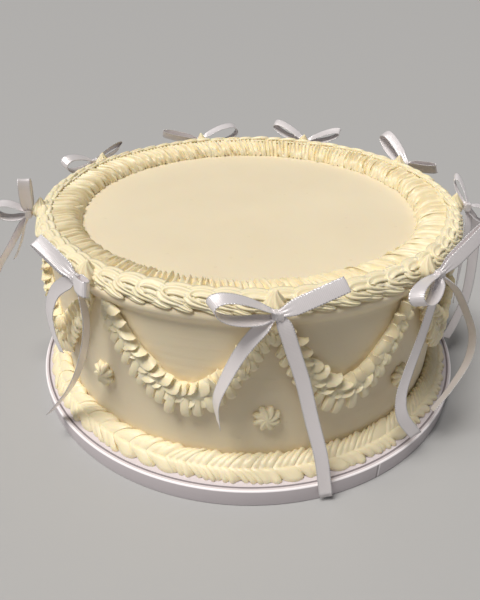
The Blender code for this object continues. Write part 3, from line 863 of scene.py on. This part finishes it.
def base_feathers():
    """A ridged herringbone round the foot of the cake, each petal's full end over the next."""
    rng = np.random.default_rng(11)
    edge = np.array(FEATHER_SECTION)
    normals = -outward(edge)
    chevron = np.repeat(np.arange(BASE_CHEVRONS), len(PETAL_PHASES))
    phase = np.tile(PETAL_PHASES, BASE_CHEVRONS)
    points = np.empty((len(phase), len(edge), 3))
    shifts, fats, slants, reaches = rng.uniform(-1.0, 1.0, (4, 2, BASE_CHEVRONS))
    ridges = rng.choice((1, 2, 3, 3), (2, BASE_CHEVRONS))
    for row, (radius, height) in enumerate(edge):
        side = 0 if row <= FEATHER_MIDDLE else 1
        away = FEATHER_SPREAD[row]
        fat = (1.0 + 0.6 * fats[side])[chevron]
        count = ridges[side][chevron]
        swell = (0.15 + 0.85 * away) * fat * (phase ** 1.3 - 0.4)
        crests = (0.4 + 0.45 * away) * (np.abs(np.sin(math.pi * count * phase)) ** 0.8 - 0.55)
        cover = 0.0 if row in (0, len(edge) - 1) else 1.0
        proud = cover * (swell + crests) - (0.5 if row == FEATHER_MIDDLE else 0.0)
        rounded = np.sin(math.pi * np.clip(phase * 0.8 + 0.1, 0.0, 1.0))
        end = cover * away ** 3 * (1.2 * (phase - 0.5) + 1.5 * crests + 0.6 * (rounded - 0.7)
                                   + 0.5 * reaches[side][chevron])
        slant = FEATHER_SLANTS[side] * away * (1.0 + 0.15 * slants[side][chevron])
        own_radius = radius + normals[row, 0] * proud
        own_height = height + normals[row, 1] * proud
        if side == 1:
            own_radius = own_radius + end * smoothstep((row - 10.0) / 4.0)
        else:
            own_height = own_height + end * 0.7
        own_radius = np.maximum(own_radius, CAKE_RADIUS - 0.4)
        turn = 360.0 * (chevron + phase + 0.16 * shifts[side][chevron] * away) / BASE_CHEVRONS
        points[:, row] = on_ring(turn + np.degrees(slant / radius), own_radius,
                                 np.maximum(own_height, 12.05))
    piece = mesh_of("feathers", [ring_skin(points)])
    crisp(piece, 50)
    finish(piece, "base_feathers", PIPED_ICING, "piped_icing", "base_border")


# Swags, stars and peaks


def swag_place(middle, half, along):
    """Centre, along, out and upward axes of a swag at a share of its half width."""
    steep = abs(along) ** SWAG_POWER
    slope = SWAG_RISE * SWAG_POWER * abs(along) ** (SWAG_POWER - 1.0) / (
        half * math.radians(1.0) * CAKE_RADIUS)
    tilt = math.atan(math.copysign(slope, along))
    right, out, up = ring_axes(middle + half * along)
    centre = on_ring(middle + half * along, CAKE_RADIUS, SWAG_LOW + SWAG_RISE * steep)
    run = right * math.cos(tilt) + up * math.sin(tilt)
    rise = up * math.cos(tilt) - right * math.sin(tilt)
    return centre, run, out, rise, steep


def narrowing(steep):
    """How wide a swag is where it is this steep: 1 at its lowest point."""
    return 1.0 - SWAG_NARROWING * smoothstep(steep)


def swag(number):
    """A soft bed, a fringe of fingers that hangs from it and two rows of ruffled petals on it."""
    rng = np.random.default_rng(100 + number)
    late, early = SWAG_TRIMS.get(number, (0.0, 0.0))
    start = BOWS[number]["azimuth"] + late
    half = ((BOWS[(number + 1) % len(BOWS)]["azimuth"] - early - start) % 360.0) / 2.0
    middle = start + half
    fine = np.linspace(-SWAG_REACH, SWAG_REACH, 400)
    centres = np.array([swag_place(middle, half, a)[0] for a in fine])
    run = np.concatenate([[0.0], np.cumsum(np.linalg.norm(np.diff(centres, axis=0), axis=1))])
    parts = []

    def spots(pitch, margin, jitter):
        length = run[-1] - 2 * margin
        count = max(int(round(length / pitch)), 2)
        for spot in range(count + 1):
            lengthwise = margin + length * spot / count + rng.uniform(-jitter, jitter)
            yield float(np.interp(lengthwise, run, fine))

    for along in spots(FINGER_PITCH, 3.0, 0.5):
        centre, go, out, rise, steep = swag_place(middle, half, along)
        wide = narrowing(steep)
        drop = unit(-0.55 * rise + np.array((0.0, 0.0, -0.6)) + go * rng.uniform(-0.16, 0.16))
        short = 1.0 - 0.45 * smoothstep((along - 0.15) / 0.5)
        reach = np.array(FINGER_DROP) * wide * short * rng.uniform(0.88, 1.08)
        proud = np.array(FINGER_PROUD) * (0.75 + 0.25 * wide) * rng.uniform(0.9, 1.15)
        route = centre + reach[:, None] * drop + proud[:, None] * out
        fat = wide ** 0.5 * rng.uniform(0.93, 1.06)
        parts.append(strand(route, np.array(FINGER_WIDTHS) * fat, np.array(FINGER_HEIGHTS) * fat,
                            scalloped(8, 0.0, 1), out))
    bed = np.linspace(-SWAG_REACH, SWAG_REACH, 60)
    places = [swag_place(middle, half, along) for along in bed]
    wides = narrowing(np.array([place[4] for place in places]))
    bed_route = np.array([place[0] + 0.6 * wide * place[3] + 2.0 * place[2]
                          for place, wide in zip(places, wides)])
    parts.append(strand(bed_route, 5.6 * wides, 4.0 * wides ** 0.5, scalloped(1, 0.0, 12),
                        np.array([place[2] for place in places])))
    for level, pitch, size, lean in RUFFLE_ROWS:
        for along in spots(pitch, 2.0, 0.7):
            centre, go, out, rise, steep = swag_place(middle, half, along)
            wide = narrowing(steep)
            ahead = unit(go + (lean + rng.uniform(-0.42, 0.36)) * rise)
            above = unit(np.cross(out, ahead))
            if above @ rise < 0:
                above = -above
            origin = centre + (level * wide + rng.uniform(-0.4, 0.4)) * rise
            steps = np.array(PETAL_STEPS) * rng.uniform(0.75, 1.25)
            broad = np.array(PETAL_BROAD) * size * wide ** 0.7 * rng.uniform(0.8, 1.15)
            thick = np.array(PETAL_THICK) * size * wide ** 0.5
            proud = np.array(PETAL_PROUD) * (0.6 + 0.4 * wide) + rng.uniform(-0.5, 0.7)
            bend = np.array(PETAL_BEND) * rng.uniform(0.6, 1.4)
            route = origin + steps[:, None] * ahead + bend[:, None] * above + proud[:, None] * out
            roll = np.linspace(-0.6, 0.7, 8) * rng.uniform(0.2, 1.5) + rng.uniform(-0.45, 0.5)
            x, y = PETAL_OUTLINE.T
            outlines = np.array([np.stack([x * math.cos(turn) - y * math.sin(turn),
                                           y * math.cos(turn) + x * math.sin(turn)], -1)
                                 for turn in roll])
            parts.append(strand(route, PETAL_WIDTH * broad, PETAL_HEIGHT * thick, outlines, out))
    piece = mesh_of("swag", parts)
    crisp(piece, 42)
    finish(piece, f"swag_ruffle_{number + 1}", PIPED_ICING, "piped_icing", f"swag_{number + 1}")


def drop_star(number):
    """A ridged star on the wall below a bow, twisted a little where it was drawn off."""
    azimuth = BOWS[number]["azimuth"] - 0.8
    _, out, up = ring_axes(azimuth)
    centre = on_ring(azimuth, CAKE_RADIUS, STAR_LEVELS[number])
    rng = np.random.default_rng(300 + number)
    lifted = unit(out + 0.18 * up)
    route = np.array([centre + lifted * proud for proud, *_ in STAR_RINGS])
    reach = rng.uniform(0.97, 1.05) * STAR_SIZE * np.array([ring[1] for ring in STAR_RINGS])
    outlines = np.array([scalloped(8, depth, 4, 0.3 + turn) for *_, depth, turn in STAR_RINGS])
    star = strand(route, reach, reach, outlines, up)
    finish(mesh_of("star", [star]), f"star_{number + 1}", PIPED_ICING, "piped_icing",
           f"drop_star_{number + 1}")


def junction_peak(number):
    """A ridged dollop drawn to a point above each knot."""
    azimuth = BOWS[number]["azimuth"]
    right, out, _ = ring_axes(azimuth)
    rng = np.random.default_rng(500 + number)
    lean = rng.uniform(-1.2, 1.2, 2)
    foot, top = PEAK_RINGS[0][0], PEAK_RINGS[-1][0]
    route, reach, outlines = [], [], []
    for ring, (level, wide, depth) in enumerate(PEAK_RINGS):
        rise = (level - foot) / (top - foot)
        route.append(on_ring(azimuth, PEAK_RADIUS, level)
                     + rise ** 2 * (lean[0] * right + lean[1] * out))
        reach.append(wide)
        outlines.append(scalloped(7, depth, 4, 0.3 + 0.12 * ring))
    peak = strand(route, np.array(reach), np.array(reach), np.array(outlines), out)
    finish(mesh_of("peak", [peak]), f"peak_{number + 1}", PIPED_ICING, "piped_icing",
           f"junction_peak_{number + 1}")


# Bows


def ribbon_strip(middles, widths):
    """Points and faces of a strip, pleated where it is gathered, with its UVs: U across, V along
    in metres."""
    middles, widths = np.array(middles), np.array(widths)
    lengths = np.concatenate([[0.0], np.cumsum(np.linalg.norm(np.diff(middles, axis=0), axis=1))])
    tangents = np.gradient(middles, axis=0)
    face = np.cross(tangents, widths)
    face /= np.linalg.norm(face, axis=1)[:, None]
    shares = np.linspace(-1.0, 1.0, RIBBON_POINTS)
    gathered = 1.0 - np.linalg.norm(widths, axis=1) / (RIBBON_WIDTH / 2.0)
    pleats = PLEAT_DEPTH * gathered[:, None] * np.cos(3.0 * math.pi * shares)[None, :]
    cup = RIBBON_CUP * (1.0 - shares ** 2)[None, :] + pleats
    points = (middles[:, None, :] + shares[None, :, None] * widths[:, None, :]
              + cup[:, :, None] * face[:, None, :])
    uvs = np.stack(np.broadcast_arrays((shares * 0.5 + 0.5)[None, :], lengths[:, None] * MM), -1)
    faces = [(row + k, row + k + 1, row + k + 1 + RIBBON_POINTS, row + k + RIBBON_POINTS)
             for row in range(0, RIBBON_POINTS * (len(middles) - 1), RIBBON_POINTS)
             for k in range(RIBBON_POINTS - 1)]
    return points.reshape(-1, 3), faces, uvs.reshape(-1, 2)


def loop_strip(reach, opening, across):
    """A teardrop loop that leaves the knot and comes back to it."""
    reach, opening = np.asarray(reach, float), np.asarray(opening, float)
    apart = unit(np.cross(reach, across)) * LOOP_END_GAP / 2.0
    apart *= math.copysign(1.0, apart @ opening)
    middles, widths = [], []
    for step in range(LOOP_STEPS + 1):
        phase = math.tau * (0.035 + 0.93 * step / LOOP_STEPS)
        along = math.sin(phase / 2.0) ** 2
        aside = math.sin(phase) * math.sin(phase / 2.0) / 0.77
        middles.append(reach * along + opening * aside + apart * math.cos(phase / 2.0))
        widths.append(unit(across) * RIBBON_WIDTH / 2.0 * (0.5 + 0.5 * smoothstep(along / 0.3)))
    return ribbon_strip(middles, widths)


def tail_strip(points, first, last):
    """A tail from the knot through its points, turning from its first width to its last."""
    route = np.vstack([np.zeros(3), np.asarray(points, float)])
    middles = smooth_curve(route, len(points) * np.arange(TAIL_STEPS + 1) / TAIL_STEPS)
    tangents = np.gradient(middles, axis=0)
    widths = []
    for step, tangent in enumerate(tangents):
        share = step / TAIL_STEPS
        along = unit(tangent)
        across = unit(np.asarray(first, float) * (1.0 - share) + np.asarray(last, float) * share)
        across = unit(across - along * (across @ along))
        half = RIBBON_WIDTH / 2.0 * (0.45 + 0.55 * smoothstep(share * len(points)))
        widths.append(across * half)
    return ribbon_strip(middles, widths)


def knot():
    """The small tight wrap at the middle of a bow, modelled once, in (right, out, up) metres."""
    clear_selection()
    bpy.ops.mesh.primitive_cube_add(size=MM)
    wrap = bpy.context.object
    wrap.scale = KNOT_SIZE
    bpy.ops.object.transform_apply(location=False, rotation=False, scale=True)
    bpy.ops.object.mode_set(mode="EDIT")
    bpy.ops.mesh.select_all(action="SELECT")
    bpy.ops.mesh.subdivide(number_cuts=7)
    bpy.ops.object.mode_set(mode="OBJECT")
    for vertex in wrap.data.vertices:
        x, y, z = (vertex.co[k] / (KNOT_SIZE[k] * MM / 2.0) for k in range(3))
        round_off = 1.0 - 0.16 * (y * y + z * z - 1.0) * (abs(y) > 0.9 and abs(z) > 0.9 or 0.6)
        crease = 0.84 + 0.18 * abs(math.sin(1.5 * math.pi * (x + 0.3 * z) + 0.5))
        vertex.co.y *= round_off * crease * (1.0 - 0.10 * x * x)
        vertex.co.z *= round_off * crease * (0.82 + 0.14 * x * x)
    soft = wrap.modifiers.new("soft", "SUBSURF")
    soft.levels = soft.render_levels = 1
    bpy.ops.object.modifier_apply(modifier=soft.name)
    mesh = wrap.data
    bpy.data.objects.remove(wrap)
    return mesh


def bow(number):
    """One mesh: two loops and two tails of thin ribbon, and the knot over their roots."""
    facts = BOWS[number]
    points, faces, uvs, start = [], [], [], 0
    strips = [loop_strip(*values) for values in facts["loops"]]
    strips += [tail_strip(*values) for values in facts["tails"]]
    for own_points, own_faces, own_uvs in strips:
        points.append(own_points)
        uvs.append(own_uvs)
        faces += [tuple(start + corner for corner in face) for face in own_faces]
        start += len(own_points)
    points, uvs = np.concatenate(points), np.concatenate(uvs)
    right, out, up = ring_axes(facts["azimuth"])
    place = on_ring(facts["azimuth"], facts["radius"], facts["height"])
    mesh = bpy.data.meshes.new("bow")
    mesh.from_pydata(((place + points @ np.stack([right, out, up])) * MM).tolist(), [], faces)
    layer = mesh.uv_layers.new(name="UVMap")
    corners = np.empty(len(mesh.loops), int)
    mesh.loops.foreach_get("vertex_index", corners)
    layer.data.foreach_set("uv", uvs[corners].ravel())
    mesh.shade_smooth()
    ribbon = bpy.data.objects.new("bow", mesh)
    bpy.context.scene.collection.objects.link(ribbon)
    select_only(ribbon)
    thick = ribbon.modifiers.new("thick", "SOLIDIFY")
    thick.thickness = RIBBON_THICKNESS * MM
    thick.offset = 0.0
    bpy.ops.object.modifier_apply(modifier=thick.name)
    wrap = bpy.data.objects.new("wrap", KNOT.copy())
    bpy.context.scene.collection.objects.link(wrap)
    for vertex in wrap.data.vertices:
        x, y, z = vertex.co
        vertex.co = Vector(place * MM + right * x + out * y + up * z)
    wrap.select_set(True)
    bpy.ops.object.join()
    finish(ribbon, f"satin_bow_{number + 1}", SATIN, "satin_ribbon", f"bow_{number + 1}")


clear_selection()
set_camera()
studio()
GRAIN = icing_grain()
SPATULA = spatula_marks()
SMOOTH_ICING = smooth_icing_finish()
PIPED_ICING = piped_icing_finish()
SATIN = satin_finish()
DRUM_PAPER = drum_finish()
cake_drum()
iced_cake()
rope_border()
inner_shells()
base_feathers()
KNOT = knot()
for number in range(len(BOWS)):
    swag(number)
    drop_star(number)
    junction_peak(number)
    bow(number)
